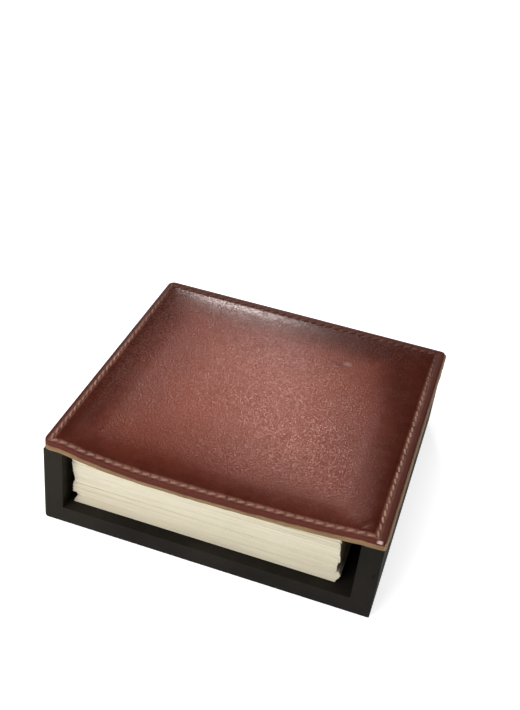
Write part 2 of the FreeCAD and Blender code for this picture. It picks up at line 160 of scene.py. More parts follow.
# Floor, lamps and camera. Each lamp has a name, a place, a point that it faces, a size in metres
# and a power in watts. The world's light is faint and comes from all round.
FLOOR_SIDE = 12
FLOOR_TONE = (0.82, 0.82, 0.82, 1)
LAMPS = (
    ("back_lamp", (-0.076, 0.338, 0.345), (0.0, 0.0, 0.035), (0.08, 0.05), 0.22),
    ("low_back_lamp", (-0.127, 0.455, 0.205), (-0.02, 0.047, 0.035), (0.08, 0.06), 0.33),
    ("front_fill", (-0.30, -0.62, 0.34), (0.0, 0.0, 0.02), (0.5, 0.5), 4.4),
    ("overhead", (-0.12, -0.18, 0.85), (0.0, 0.0, 0.0), (0.5, 0.5), 2.7),
)
WORLD_LIGHT = 0.03
CAMERA_PLACE = (65.25 * MM, -270.23 * MM, 246.15 * MM)
CAMERA_TURN = (54.544, -5.653, 18.039)
CAMERA_LENS = 51.2
CAMERA_SENSOR = 36.0

sag = wall_top - HANG_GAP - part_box("memo_sheets_6")[1].z
rim_top = board_top + LEATHER
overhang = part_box("lid_board")[1].x - lid_right


# ---------------------------------------------------------------- form of the lid


def bezier(poles, share):
    """Height of a Bezier curve with evenly spaced poles."""
    last = len(poles) - 1
    weights = [math.comb(last, n) * share**n * (1 - share) ** (last - n) for n in range(last + 1)]
    return sum(weight * pole for weight, pole in zip(weights, poles))


def hang(x, y):
    """How far the lid hangs below the level of the wall tops."""
    if abs(x) >= inner_half or y >= leaf_low.y:
        return 0.0
    across = bezier(HANG_ACROSS, (x + inner_half) / (2 * inner_half))
    backwards = bezier(HANG_BACKWARDS, max(y - front_y, 0.0) / well_depth)
    return sag * across * backwards


def eased_hang(x, y):
    """The same for the padded leather, which rounds off the creases over the tray's inner edges."""
    reach = min(max(min(seam_offsets(x, y)), 0.0), EASING)
    steps = (-1.0, -0.5, 0.0, 0.5, 1.0)
    return sum(hang(x + reach * a, y + reach * b) for a in steps for b in steps) / len(steps) ** 2


def seam_offsets(x, y):
    """Distance of a point inside each of the four seams: left, right, front, back."""
    return (
        x - lid_left - SEAM_LEFT,
        lid_right - SEAM_RIGHT - x,
        y - front_y - SEAM_FRONT,
        back_y - SEAM_BACK - y,
    )


def swell_panel():
    """Heights of a slack panel, held along the seam, that a cloth simulation swells."""
    bpy.ops.object.select_all(action="DESELECT")
    cells_x, cells_y = SWELL_CELLS
    bpy.ops.mesh.primitive_grid_add(x_subdivisions=cells_x, y_subdivisions=cells_y, size=1)
    panel = bpy.context.object
    points = panel.data.vertices
    at_rim = 0.5 - TINY
    rim = [point.index for point in points if max(abs(point.co.x), abs(point.co.y)) > at_rim]
    width = (lid_right - lid_left - SEAM_LEFT - SEAM_RIGHT) * SWELL_SCALE
    depth = (back_y - front_y - SEAM_FRONT - SEAM_BACK) * SWELL_SCALE
    panel.data.transform(Matrix.Diagonal((width, depth, 1, 1)))
    panel.vertex_groups.new(name="seam").add(rim, 1.0, "REPLACE")
    cloth = panel.modifiers.new("swell", "CLOTH").settings
    cloth.vertex_group_mass = "seam"
    cloth.use_pressure = True
    cloth.uniform_pressure_force = SWELL_PRESSURE
    cloth.shrink_min = -SWELL_SLACK
    cloth.effector_weights.gravity = 0
    for number in range(1, SWELL_FRAMES + 1):
        bpy.context.scene.frame_set(number)
    bpy.ops.object.modifier_apply(modifier="swell")
    heights = [point.co.z / SWELL_SCALE for point in panel.data.vertices]
    bpy.data.objects.remove(panel)
    bpy.context.scene.frame_set(1)
    return [heights[row * (cells_x + 1) : (row + 1) * (cells_x + 1)] for row in range(cells_y + 1)]


def swollen(x, y):
    """Height of the swollen panel over a point, between its four nearest grid points."""
    left, right, front, back = seam_offsets(x, y)
    u = left / (left + right) * SWELL_CELLS[0]
    v = front / (front + back) * SWELL_CELLS[1]
    column = min(int(u), SWELL_CELLS[0] - 1)
    row = min(int(v), SWELL_CELLS[1] - 1)
    u -= column
    v -= row
    near = swell_heights[row][column] * (1 - u) + swell_heights[row][column + 1] * u
    far = swell_heights[row + 1][column] * (1 - u) + swell_heights[row + 1][column + 1] * u
    return near * (1 - v) + far * v


def padding_rise(x, y):
    """Height that the padding lifts the leather: the foam caps how far the panel swells."""
    if min(seam_offsets(x, y)) <= 0:
        return 0.0
    rise = 1 - math.exp(-swollen(x, y) / PAD_FIRMNESS)
    slow = noise.noise(Vector((x, y, 0)) * SLOW_WAVES)
    quick = noise.noise(Vector((x, y, 0.3)) * QUICK_WAVES)
    return rise * (PAD_RISE + PAD_WAVES * (slow + QUICK_SHARE * quick))


def groove(x, y):
    """Depth that the thread pulls the leather down along the seam, deepest at the stitch holes."""
    inside = seam_offsets(x, y)
    nearest = min(inside, key=abs) if min(inside) > -GROOVE_WIDTH else min(inside)
    along = y if nearest in inside[:2] else x
    holes = 0.5 + 0.5 * math.cos(2 * math.pi * along / STITCH_PITCH)
    return (GROOVE_DEPTH + PUCKER * holes) * math.exp(-((nearest / GROOVE_WIDTH) ** 2))


swell_heights = swell_panel()


# ---------------------------------------------------------------- modelling helpers


def select_only(*pieces):
    """Selects these objects alone and makes the first one active."""
    bpy.ops.object.select_all(action="DESELECT")
    for piece in pieces:
        piece.select_set(True)
    bpy.context.view_layer.objects.active = pieces[0]


def settle(piece, name):
    """Names a piece and puts its place, turn and size into its mesh."""
    select_only(piece)
    bpy.ops.object.transform_apply(location=True, rotation=True, scale=True)
    piece.name = name
    piece.data.name = name
    return piece


def pick_edges(piece, wanted):
    """Selects the edges whose two end points pass the test, with the piece in edit mode."""
    bpy.ops.mesh.select_mode(type="EDGE")
    bpy.ops.mesh.select_all(action="DESELECT")
    bpy.ops.object.mode_set(mode="OBJECT")
    corners = piece.data.vertices
    for edge in piece.data.edges:
        edge.select = wanted(*(corners[n].co for n in edge.vertices))
    bpy.ops.object.mode_set(mode="EDIT")


def apply_modifiers(piece):
    """Applies every modifier of the piece, in order."""
    select_only(piece)
    for modifier in list(piece.modifiers):
        bpy.ops.object.modifier_apply(modifier=modifier.name)


def smooth(piece, angle=35):
    """Smooth shading, with edges sharper than the angle kept crisp."""
    select_only(piece)
    bpy.ops.object.shade_smooth_by_angle(angle=math.radians(angle))


def dress(piece, finish, slot, body, *nodes):
    """Gives a piece its material and body, and hides the CAD nodes that it stands for. The slot is
    not used.
    """
    piece.data.materials.clear()
    piece.data.materials.append(finish)
    if body:
        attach(piece, body)
    if nodes:
        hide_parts(*nodes)
    return piece


class Plan:
    """The lid's outline seen from above, with tighter corners at its right.

    It can be set in all round, and let out at the right where the raw edge stands out.
    """

    def __init__(self, inset=0.0, raw_edge=0.0):
        self.low = Vector((lid_left + inset, front_y + inset))
        self.high = Vector((lid_right - inset + raw_edge, back_y - inset))
        self.inset = inset

    def lines(self, axis, near_edge, pitch):
        """Places of grid lines along an axis: given steps at both edges, even ones between."""
        edge = [step * MM for step in near_edge]
        low, high = self.low[axis], self.high[axis]
        inner = high - low - 2 * edge[-1]
        count = round(inner / (pitch * MM))
        between = [low + edge[-1] + inner * n / count for n in range(1, count)]
        return [low + step for step in edge] + between + [high - step for step in reversed(edge)]

    def in_corner(self, x, y):
        """How far a point lies from a corner's centre, as shares of its radius, and the radius."""
        radius = max((LEFT_CORNER if x < 0 else RIGHT_CORNER) - self.inset, LEAST_CORNER)
        u = max(self.low.x - x, x - self.high.x) / radius + 1
        v = max(self.low.y - y, y - self.high.y) / radius + 1
        return max(u, 0), max(v, 0), radius

    def rounded(self, x, y):
        """Moves a point of a corner's square into the quarter circle that rounds it."""
        u, v, radius = self.in_corner(x, y)
        if not (u and v):
            return x, y
        share = max(u, v) / math.hypot(u, v)
        shift_x = radius * u * (1 - share)
        shift_y = radius * v * (1 - share)
        return x - math.copysign(shift_x, x), y - math.copysign(shift_y, y)

    def on_rim(self, x, y):
        """Whether a point lies on the outline."""
        return math.hypot(*self.in_corner(x, y)[:2]) > 0.999


def lid_slab(name, low, high, near_edge, pitch, plan, rounding=0.0, ragged=0.0):
    """Flat slab with the lid's plan, of a grid that is closer near its edges.

    Its points keep their flat height as the attribute "level", for the materials.
    """
    across = plan.lines(0, near_edge, pitch)
    backwards = plan.lines(1, near_edge, pitch)
    cells_x = len(across) - 1
    cells_y = len(backwards) - 1
    bpy.ops.object.select_all(action="DESELECT")
    bpy.ops.mesh.primitive_grid_add(x_subdivisions=cells_x, y_subdivisions=cells_y, size=1)
    piece = settle(bpy.context.object, name)
    for point in piece.data.vertices:
        x = across[round((point.co.x + 0.5) * cells_x)]
        y = backwards[round((point.co.y + 0.5) * cells_y)]
        point.co = (*plan.rounded(x, y), low)
    bpy.ops.object.mode_set(mode="EDIT")
    bpy.ops.mesh.select_all(action="SELECT")
    bpy.ops.mesh.extrude_region_move(TRANSFORM_OT_translate={"value": (0, 0, high - low)})
    bpy.ops.mesh.select_all(action="SELECT")
    bpy.ops.mesh.normals_make_consistent(inside=False)
    if rounding:

        def on_top_rim(*ends):
            return all(end.z > high - TINY and plan.on_rim(end.x, end.y) for end in ends)

        pick_edges(piece, on_top_rim)
        bpy.ops.mesh.bevel(offset=rounding, segments=4, profile=0.5, affect="EDGES")
    bpy.ops.object.mode_set(mode="OBJECT")
    levels = piece.data.attributes.new("level", "FLOAT", "POINT").data
    for point, level in zip(piece.data.vertices, levels):
        level.value = point.co.z
        if ragged and plan.on_rim(point.co.x, point.co.y):
            point.co.x += ragged * noise.noise(point.co * RAGGED_WAVES)
            point.co.y += ragged * noise.noise(point.co * RAGGED_WAVES + Vector((5, 0, 0)))
    return piece


# ---------------------------------------------------------------- materials


class Value:
    """A shader socket that takes part in sums: each operator adds a Math node."""

    def __init__(self, finish, socket):
        self.finish = finish
        self.socket = socket

    def math(self, operation, *terms):
        """Result of a Math node with these terms."""
        terms = dict(enumerate(terms))
        return self.finish.node("ShaderNodeMath", {"operation": operation}, terms)["Value"]

    def __add__(self, other):
        return self.math("ADD", self, other)

    def __radd__(self, other):
        return self.math("ADD", other, self)

    def __sub__(self, other):
        return self.math("SUBTRACT", self, other)

    def __rsub__(self, other):
        return self.math("SUBTRACT", other, self)

    def __mul__(self, other):
        return self.math("MULTIPLY", self, other)

    def __pow__(self, other):
        return self.math("POWER", self, other)

    def __abs__(self):
        return self.math("ABSOLUTE", self)

    def lower(self, other):
        """The lower of two values."""
        return self.math("MINIMUM", self, other)

    def higher(self, other):
        """The higher of two values."""
        return self.math("MAXIMUM", self, other)

    def clamped(self):
        """The value kept from 0 to 1."""
        return self.lower(1.0).higher(0.0)


class Outputs:
    """The outputs of one shader node, by name or number, as values."""

    def __init__(self, finish, made):
        self.finish = finish
        self.made = made

    def __getitem__(self, key):
        return Value(self.finish, self.made.outputs[key])


class Finish:
    """A material with one Principled shader, whose inputs are set or driven by values."""

    def __init__(self, name, **constants):
        self.material = bpy.data.materials.new(name)
        self.material.use_nodes = True
        self.tree = self.material.node_tree
        self.shader = self.tree.nodes["Principled BSDF"]
        for socket, value in constants.items():
            self.shader.inputs[socket.replace("_", " ")].default_value = value

    def node(self, kind, settings, inputs):
        """Adds a node: its settings first, then the values or links of its sockets."""
        made = self.tree.nodes.new(kind)
        for setting, value in settings.items():
            setattr(made, setting, value)
        for key, value in inputs.items():
            if isinstance(value, Value):
                self.tree.links.new(value.socket, made.inputs[key])
            else:
                made.inputs[key].default_value = value
        return Outputs(self, made)

    def drive(self, socket, value):
        """Links a value to the shader's socket."""
        self.tree.links.new(value.socket, self.shader.inputs[socket])

    def place(self, stretch=(1, 1, 1)):
        """Object coordinates in metres, stretched along the axes."""
        inputs = {"Vector": self.node("ShaderNodeTexCoord", {}, {})["Object"], "Scale": stretch}
        return self.node("ShaderNodeMapping", {}, inputs)["Vector"]

    def axes(self):
        """The three Object coordinates as separate values."""
        split = self.node("ShaderNodeSeparateXYZ", {}, {"Vector": self.place()})
        return split["X"], split["Y"], split["Z"]

    def noise(self, size, detail=3.0, roughness=0.5, stretch=(1, 1, 1)):
        """Noise from 0 to 1 whose patches are about the given size in metres."""
        inputs = {"Vector": self.place(stretch), "Scale": 1 / size}
        inputs.update({"Detail": detail, "Roughness": roughness})
        return self.node("ShaderNodeTexNoise", {}, inputs)["Fac"]

    def cells(self, size, smoothness):
        """Rounded cells, 0 at their middles, of the given size in metres."""
        settings = {"feature": "SMOOTH_F1"}
        inputs = {"Vector": self.place(), "Scale": 1 / size, "Smoothness": smoothness}
        return self.node("ShaderNodeTexVoronoi", settings, inputs)["Distance"]

    def contrast(self, value, low, high):
        """The value spread from low..high to 0..1, and clamped."""
        inputs = {"Value": value, "From Min": low, "From Max": high}
        return self.node("ShaderNodeMapRange", {"clamp": True}, inputs)["Result"]

    def mix(self, share, first, second):
        """Blend of two colours."""
        inputs = {0: share, 6: self.colour(first), 7: self.colour(second)}
        return self.node("ShaderNodeMix", {"data_type": "RGBA"}, inputs)[2]

    def colour(self, value):
        """A colour socket's input: a value as it is, or three numbers made opaque."""
        return value if isinstance(value, Value) else (*value, 1)

    def bump(self, height, depth, strength=1.0):
        """Drives the normal by a height from 0 to 1 that stands for the depth."""
        inputs = {"Height": height, "Distance": depth, "Strength": strength}
        self.drive("Normal", self.node("ShaderNodeBump", {}, inputs)["Normal"])


def offset_length(x, y):
    """Length of a flat offset that is given as two values."""
    return (x * x + y * y) ** 0.5


def leather(name, dye, gloss, pebble, relief):
    """Dressed leather: an irregular pebble, polished on its tops and dull in its pits.

    Its dye gives the colour, how dull the surface is, and how flat the grain is pressed.
    """
    made = Finish(name, Specular_IOR_Level=0.38, Specular_Tint=LEATHER_SHEEN)
    pores = made.cells(pebble * 1.5, 0.2)
    grain = made.noise(pebble, 1.5, 0.5)
    fine = made.noise(pebble * 0.4, 2.0, 0.6)
    colour, dull, pressed = dye(made)
    height = (grain * 0.65 + fine * 0.25 - pores * 0.2) * (1 - pressed * 0.6)
    clusters = made.contrast(made.noise(pebble * 5, 3.0, 0.6), 0.3, 0.65)
    pits = 1 - made.contrast(grain * 0.8 + fine * 0.2, 0.41, 0.54)
    pits = pits * (0.5 + clusters * 0.5) * (1 - pressed * 0.85)
    made.drive("Base Color", made.mix(pits * 0.28, colour, OXBLOOD_DARK))
    cloudy = made.contrast(made.noise(3 * MM, 4.0, 0.6), 0.3, 0.7)
    roughness = gloss + cloudy * 0.08 + pits * 0.46 + pressed * 0.05 + dull * 0.35
    made.drive("Roughness", roughness)
    made.bump(height, relief)
    return made.material


def lid_dye_and_painted_light(made):
    """Dark red dye: lighter in the middle, partly rubbed and partly a painted pool of light, and
    darker between the middle and the seam, partly burnished and partly painted shade; rubbed light
    on the seam.
    """
    x, y, _ = made.axes()
    from_left = x - (lid_left + SEAM_LEFT)
    from_right = (lid_right - SEAM_RIGHT) - x
    from_front = y - (front_y + SEAM_FRONT)
    from_back = (back_y - SEAM_BACK) - y
    inside = from_left.lower(from_right).lower(from_front).lower(from_back)
    # The middle is lighter, least towards the back right: partly rubbed, partly a painted pool of
    # light under the lamps. Around it the dye is darker, partly burnished and partly painted shade
    # where the padding turns away from the light. The edge of the middle wanders.
    wander = (made.noise(13 * MM, 3.0) - 0.5) * (7 * MM)
    from_sides = (from_left * 0.9).lower(from_right * 0.85)
    middle = from_sides.lower(from_front * 0.8 + 2.5 * MM).lower(from_back * 0.85)
    middle = middle - made.contrast(x + y, 45 * MM, 85 * MM) * (9 * MM)
    rubbed = made.contrast(middle + wander, 5 * MM, 31 * MM)
    burnished_and_shaded = 1 - made.contrast(middle + wander * 0.6, 3 * MM, 14 * MM)
    mottle = made.contrast(made.noise(5 * MM, 4.0, 0.6), 0.3, 0.75)
    colour = made.mix(rubbed, OXBLOOD, OXBLOOD_RUBBED_AND_LIT)
    colour = made.mix(burnished_and_shaded * 0.78, colour, OXBLOOD_DARK)
    colour = made.mix(mottle * 0.16, colour, OXBLOOD_RUBBED_AND_LIT)
    # Outside the seam the dye is darker, and on the seam it is rubbed off.
    margin = 1 - made.contrast(inside, -0.4 * MM, 0.4 * MM)
    colour = made.mix(margin * 0.8, colour, OXBLOOD_MARGIN)
    ridge = 1 - made.contrast(abs(inside), 0.4 * MM, 1.2 * MM)
    handled = (1 - made.contrast(y, 20 * MM, 48 * MM) * 0.75) * made.contrast(mottle, 0.0, 0.5)
    colour = made.mix(ridge * handled * 0.75, colour, SEAM_RUBBED)
    # A crease, its shade painted as a dark line, and a painted glint where the leather lifts beside
    # it; then a chip at the corner, whose pale spot also stands for the corner's painted highlight.
    shaky = (made.noise(3.5 * MM, 2.0) - 0.5) * (2.2 * MM)
    crease_shade = 1 - made.contrast(abs(y + x * 0.1 + shaky - CREASE_Y), 0.3 * MM, 1.5 * MM)
    crease_shade = crease_shade * (1 - made.contrast(abs(x - CREASE_X), 1.5 * MM, 5.0 * MM))
    colour = made.mix(crease_shade * 0.55, colour, OXBLOOD_DARK)
    from_glint = offset_length(x - GLINT_X, (y - GLINT_Y + shaky) * 1.6)
    colour = made.mix((1 - made.contrast(from_glint, 0.3 * MM, 2.2 * MM)) * 0.4, colour, CHIP_AND_GLINT_PALE)
    # The chip's pale spot is partly bare finish and partly a painted highlight on the rolled
    # corner.
    from_chip = offset_length((x - CHIP_X) * 0.6, y - CHIP_Y)
    colour = made.mix(1 - made.contrast(from_chip, 0.25 * MM, 0.7 * MM), colour, CHIP_AND_GLINT_PALE)
    # The burnished grain is pressed flat, least towards the lamps at the back left.
    towards_lamps = made.contrast(y - x * 0.7, 0.0, 30 * MM)
    pressed = made.contrast(burnished_and_shaded, 0.0, 0.5) * (1 - towards_lamps * 0.85)
    return colour, margin.higher(ridge), pressed


def hinge_dye(made):
    """Plain dark dye of the hinge, a little uneven."""
    cloud = made.noise(9 * MM, 4.0)
    colour = made.mix(made.contrast(cloud, 0.3, 0.7), HINGE_DARK, HINGE_BROWN)
    return colour, cloud * 0.3, 0.0


def raw_edge(name, low, high, stain):
    """Cut edge of leather board: layered fibres, stained by the dye above, bare at the right."""
    made = Finish(name, Specular_IOR_Level=0.25)
    x, _, _ = made.axes()
    level = made.node("ShaderNodeAttribute", {"attribute_name": "level"}, {})["Fac"]
    layers = made.noise(0.8 * MM, 4.0, 0.6, (0.1, 0.1, 1.0))
    nap = made.noise(0.5 * MM, 4.0, 0.65)
    patches = made.noise(5 * MM, 3.0)
    colour = made.mix(made.contrast(layers * 0.55 + nap * 0.45, 0.34, 0.62), low, high)
    colour = made.mix(made.contrast(patches, 0.42, 0.7) * stain, colour, EDGE_STAIN)
    deeper = (1 - made.contrast(abs(x + 5 * MM), 18 * MM, 46 * MM)) * (0.6 * MM)
    dyed = level + deeper + (patches - 0.5) * (0.5 * MM)
    bleed = made.contrast(dyed, board_top - 0.75 * MM, board_top - 0.35 * MM)
    bare = made.contrast(x, lid_right - 0.2 * MM, lid_right + 0.1 * MM)
    colour = made.mix(bare * 0.8, made.mix(bleed, colour, OXBLOOD_MARGIN), EDGE_BARE)
    made.drive("Base Color", colour)
    made.drive("Roughness", 0.62 + layers * 0.25)
    made.bump(layers * 0.6 + nap * 0.4, 0.12 * MM, 0.8)
    return made.material


def lacquer(name, colour, worn):
    """Thin black paint on wood: faint grain, rubbed patches, painted light that makes the left side
    lighter, and one nick whose shade is painted dark.
    """
    made = Finish(name, Specular_IOR_Level=0.1)
    x, _, z = made.axes()
    grain = made.noise(0.9 * MM, 5.0, 0.6, (1.0, 0.07, 1.0))
    cloud = made.noise(16 * MM, 3.0)
    rubbed = made.contrast(made.noise(3.5 * MM, 5.0, 0.65), 0.58, 0.75)
    tone = made.mix(made.contrast(cloud, 0.3, 0.7), colour, worn)
    tone = made.mix(rubbed * 0.35, tone, worn)
    # Painted light: the paint is lighter towards the left, as if that side were lit more.
    handled = 1 - made.contrast(x, -54 * MM, -25 * MM)
    tone = made.mix(handled * 0.5, tone, LACQUER_LIT_LEFT)
    # The nick is a dent whose shade is painted as a darker spot.
    from_nick = abs(x - NICK_X) + abs(z - NICK_Z) * 0.6
    nick = 1 - made.contrast(from_nick, 0.35 * MM, 0.8 * MM)
    made.drive("Base Color", made.mix(nick * 0.9, tone, LACQUER_NICK_SHADE))
    made.drive("Roughness", 0.5 + cloud * 0.14 + rubbed * 0.1)
    made.bump(grain * 0.7 + made.noise(0.3 * MM, 2.0) * 0.3, 0.05 * MM, 0.6)
    return made.material


def paper(name, pale, deep):
    """Uncoated cream paper: edges vary from sheet to sheet, and a painted shade darkens them low in
    the stack.
    """
    made = Finish(name, Specular_IOR_Level=0.25)
    _, _, height = made.axes()
    stack_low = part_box("memo_sheets_1")[0].z
    stack_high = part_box("memo_sheets_6")[1].z
    # Painted shade: the sheets grow darker towards the bottom of the stack.
    painted_shade_low = 1 - made.contrast(height, stack_low - 2 * MM, stack_high - 7 * MM)
    sheets = made.noise(0.9 * MM, 3.0, 0.6, (0.015, 0.015, 1.0))
    cloud = made.noise(16 * MM, 3.0, 0.5, (1.0, 1.0, 2.5))
    fibres = made.noise(0.8 * MM, 3.0)
    shade = painted_shade_low * 0.55 + made.contrast(sheets, 0.4, 0.7) * 0.3 + (cloud - 0.5) * 0.4
    made.drive("Base Color", made.mix(shade.clamped(), pale, deep))
    made.drive("Roughness", 0.8 + fibres * 0.12)
    made.bump(fibres, 0.02 * MM, 0.5)
    return made.material


def thread_finish(name, pale, deep, dirty):
    """Waxed thread, rubbed pale in patches, reddened at the front and dirty at the back."""
    made = Finish(name, Specular_IOR_Level=0.3)
    _, y, _ = made.axes()
    soil = made.contrast(made.noise(4 * MM, 3.0), 0.35, 0.68)
    reddened = 1 - made.contrast(y, -51.5 * MM, -49 * MM)
    colour = made.mix(soil.higher(reddened * 0.75), pale, deep)
    made.drive("Base Color", made.mix(made.contrast(y, 12 * MM, 49 * MM) * 0.9, colour, dirty))
    made.drive("Roughness", 0.55 + soil * 0.2)
    made.bump(made.noise(0.25 * MM, 2.0), 0.05 * MM, 0.6)
    return made.material


def soft_finish(name, dark, light, fibre):
    """Pressed felt or foam: short fibres in every direction."""
    made = Finish(name, Specular_IOR_Level=0.2, Sheen_Weight=0.3, Sheen_Roughness=0.5)
    fibres = made.noise(fibre, 5.0, 0.7)
    made.drive("Base Color", made.mix(made.contrast(fibres, 0.35, 0.65), dark, light))
    made.drive("Roughness", 0.85 + fibres * 0.1)
    made.bump(fibres, 0.3 * MM, 0.8)
    return made.material


def bare_wood(name, pale, dark, along):
    """Beech of the dowels, with its grain along the given stretch."""
    made = Finish(name, Specular_IOR_Level=0.3)
    grain = made.noise(0.6 * MM, 4.0, 0.6, along)
    made.drive("Base Color", made.mix(made.contrast(grain, 0.35, 0.7), pale, dark))
    made.drive("Roughness", 0.6 + grain * 0.2)
    made.bump(grain, 0.04 * MM, 0.5)
    return made.material


def metal(name, colour, dull, roughness):
    """Drawn or stamped metal, dulled in patches."""
    made = Finish(name, Metallic=1.0)
    scratches = made.noise(0.4 * MM, 3.0, 0.6, (1.0, 1.0, 0.2))
    patina = made.contrast(made.noise(2.5 * MM, 4.0), 0.45, 0.75)
    made.drive("Base Color", made.mix(patina * 0.7, colour, dull))
    made.drive("Roughness", roughness + patina * 0.25 + scratches * 0.1)
    made.bump(scratches, 0.01 * MM, 0.5)
    return made.material


OXBLOOD_DARK = (0.052, 0.011, 0.0065)
OXBLOOD = (0.142, 0.0245, 0.0125)
# Lighter red of the rubbed middle, which also stands for a painted pool of light.
OXBLOOD_RUBBED_AND_LIT = (0.32, 0.074, 0.042)
OXBLOOD_MARGIN = (0.095, 0.02, 0.012)
SEAM_RUBBED = (0.34, 0.15, 0.11)
# Pale of the chip, also used for the painted glints at the chip and beside the crease.
CHIP_AND_GLINT_PALE = (0.62, 0.45, 0.42)
LEATHER_SHEEN = (1.0, 0.52, 0.42, 1.0)
HINGE_DARK = (0.022, 0.007, 0.005)
HINGE_BROWN = (0.06, 0.018, 0.012)
LINING_DARK = (0.19, 0.125, 0.06)
LINING_LIGHT = (0.33, 0.235, 0.12)
BOARD_DARK = (0.24, 0.135, 0.065)
BOARD_LIGHT = (0.36, 0.22, 0.11)
EDGE_STAIN = (0.19, 0.065, 0.035)
EDGE_BARE = (0.5, 0.32, 0.2)
LACQUER_BLACK = (0.0068, 0.0055, 0.0043)
LACQUER_WORN = (0.017, 0.0135, 0.0105)
LACQUER_LIT_LEFT = (0.03, 0.0245, 0.017)
LACQUER_NICK_SHADE = (0.002, 0.002, 0.002)
PAPER_PALE = (0.90, 0.84, 0.69)
PAPER_DEEP = (0.66, 0.59, 0.43)
THREAD_PALE = (0.44, 0.245, 0.18)
THREAD_RED = (0.27, 0.125, 0.09)
THREAD_DIRTY = (0.1, 0.036, 0.025)
FELT_DARK = (0.008, 0.009, 0.008)
FELT_LIGHT = (0.03, 0.032, 0.03)
FOAM_DARK = (0.55, 0.5, 0.38)
FOAM_LIGHT = (0.75, 0.7, 0.55)
BEECH_PALE = (0.55, 0.38, 0.22)
BEECH_DARK = (0.38, 0.24, 0.12)
STEEL = (0.5, 0.5, 0.52)
STEEL_DULL = (0.25, 0.24, 0.23)
BRASS = (0.72, 0.50, 0.22)
BRASS_DULL = (0.34, 0.22, 0.09)

lid_look = {"gloss": 0.125, "pebble": 0.62 * MM, "relief": 0.1 * MM}
hinge_look = {"gloss": 0.45, "pebble": 0.5 * MM, "relief": 0.08 * MM}
lid_leather_material = leather("oxblood_leather", lid_dye_and_painted_light, **lid_look)
hinge_leather_material = leather("hinge_leather", hinge_dye, **hinge_look)
lining_material = raw_edge("lining_leather", LINING_DARK, LINING_LIGHT, stain=0.2)
board_material = raw_edge("leather_board", BOARD_DARK, BOARD_LIGHT, stain=0.5)
lacquer_material = lacquer("black_lacquer", LACQUER_BLACK, LACQUER_WORN)
paper_material = paper("memo_paper", PAPER_PALE, PAPER_DEEP)
thread_material = thread_finish("sewing_thread", THREAD_PALE, THREAD_RED, THREAD_DIRTY)
felt_material = soft_finish("base_felt", FELT_DARK, FELT_LIGHT, fibre=0.35 * MM)
foam_material = soft_finish("padding_foam", FOAM_DARK, FOAM_LIGHT, fibre=0.5 * MM)
dowel_material = bare_wood("dowel_wood", BEECH_PALE, BEECH_DARK, along=(0.08, 1.0, 1.0))
steel_material = metal("nail_steel", STEEL, STEEL_DULL, roughness=0.35)
brass_material = metal("tack_brass", BRASS, BRASS_DULL, roughness=0.28)


# ---------------------------------------------------------------- lid


def let_hang(piece):
    """Bends a flat slab of the lid to its hang."""
    for point in piece.data.vertices:
        point.co.z -= hang(point.co.x, point.co.y)


def make_lining():
    """Lining under the board, its edge cut a little unevenly."""
    plan = Plan(raw_edge=overhang)
    grid = (COARSE_LINES, COARSE_PITCH, plan)
    piece = lid_slab("lid_lining_skin", wall_top, lining_top, *grid, ragged=LINING_RAGGED)
    let_hang(piece)
    smooth(piece)
    return dress(piece, lining_material, "lining_leather", "lid", "lid_lining")


def make_board():
    """Board of pressed leather, with its raw edge bare all round."""
    plan = Plan(raw_edge=overhang)
    grid = (COARSE_LINES, COARSE_PITCH, plan)
    piece = lid_slab("lid_board_core", lining_top, board_top, *grid, ragged=BOARD_RAGGED)
    let_hang(piece)
    smooth(piece)
    return dress(piece, board_material, "leather_board", "lid", "lid_board")


def make_padding():
    """Thin foam that fills the space between the board and the leather."""
    inset = max(SEAM_FRONT, SEAM_BACK, SEAM_LEFT, SEAM_RIGHT) + GROOVE_WIDTH
    piece = lid_slab("lid_padding_foam", 0.0, FOAM_EDGE, COARSE_LINES, COARSE_PITCH, Plan(inset))
    for point in piece.data.vertices:
        x, y, z = point.co
        bottom = board_top - hang(x, y)
        top = board_top + padding_rise(x, y) - eased_hang(x, y) - FOAM_GAP
        point.co.z = max(top, bottom + FOAM_EDGE) if z > 0 else bottom
    smooth(piece)
    return dress(piece, foam_material, "padding_foam", "lid", "lid_padding")


def make_leather():
    """Leather over the padding: rounded rim, flat margin, sunk seam and crowned middle."""
    grid = (FINE_LINES, FINE_PITCH, Plan())
    piece = lid_slab("lid_leather_cover", board_top, rim_top, *grid, RIM_ROUNDING)
    for point in piece.data.vertices:
        x, y, z = point.co
        pressed = groove(x, y) if z > board_top + LEATHER / 2 else 0.0
        point.co.z = z + padding_rise(x, y) - eased_hang(x, y) - pressed
    smooth(piece, 60)
    return dress(piece, lid_leather_material, "oxblood_leather", "lid", "lid_leather")


def stitch_shape():
    """One stitch as it lies between two holes: a round bar that dips at both ends."""
    bpy.ops.object.select_all(action="DESELECT")
    bpy.ops.mesh.primitive_uv_sphere_add(segments=10, ring_count=8, radius=1)
    piece = bpy.context.object
    piece.rotation_euler = (0, math.radians(90), 0)
    settle(piece, "stitch_master")
    for point in piece.data.vertices:
        x, y, z = point.co
        slim = (1 - x * x) ** 0.5
        full = (1 - abs(x) ** 3) ** 0.5
        swell = full / slim if slim > 1e-4 else 1.0
        dip = STITCH_DIP * x * x
        point.co = (
            x * STITCH_LENGTH / 2,
            y * swell * THREAD / 2,
            (z * swell - dip) * THREAD / 2,
        )
    return piece


def seam_runs():
    """Start, end and direction of the four straight runs of the seam, joined at its corners."""
    left = lid_left + SEAM_LEFT
    right = lid_right - SEAM_RIGHT
    front = front_y + SEAM_FRONT
    back = back_y - SEAM_BACK
    corners = [Vector(at) for at in ((left, front), (right, front), (right, back), (left, back))]
    return list(zip(corners, corners[1:] + corners[:1]))


